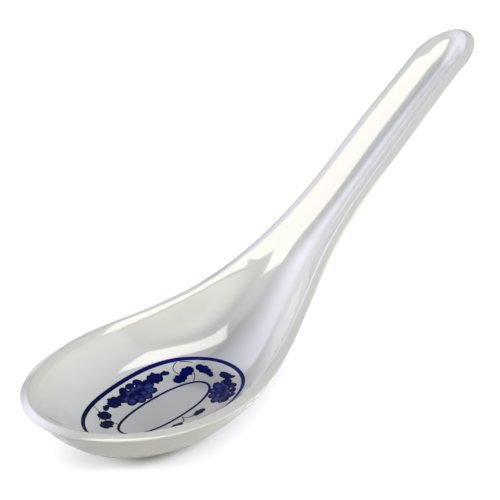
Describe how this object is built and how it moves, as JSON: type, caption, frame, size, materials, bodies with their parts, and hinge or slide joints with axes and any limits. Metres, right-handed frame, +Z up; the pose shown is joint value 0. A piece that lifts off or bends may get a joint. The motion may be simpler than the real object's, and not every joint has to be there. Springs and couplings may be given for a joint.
{
  "type": "chinese soup spoon",
  "caption": "One-piece soup spoon with a deep oval bowl, a flat base and a raised, channelled handle.",
  "frame": {"origin": "on the flat base, under the widest place of the bowl", "axes": "+X from the bowl along the handle, +Y across the bowl, +Z up"},
  "size_m": [0.1396, 0.0488, 0.0553],
  "materials": {
    "white_body": "glossy moulded melamine",
    "clear_film": "glossy overlay",
    "navy_ink": "print under gloss",
    "petal_ink": "print under gloss",
    "tendril_ink": "fine print under gloss"
  },
  "bodies": {
    "root": {"spoon_body": "white_body", "decal_film": "clear_film", "outer_line": "navy_ink", "inner_line": "navy_ink", "bloom_petals": "petal_ink", "bloom_hearts": "navy_ink", "bloom_leaves": "navy_ink", "bud_petals": "petal_ink", "sprig_leaves": "navy_ink", "tendrils": "tendril_ink"}
  },
  "joints": []
}
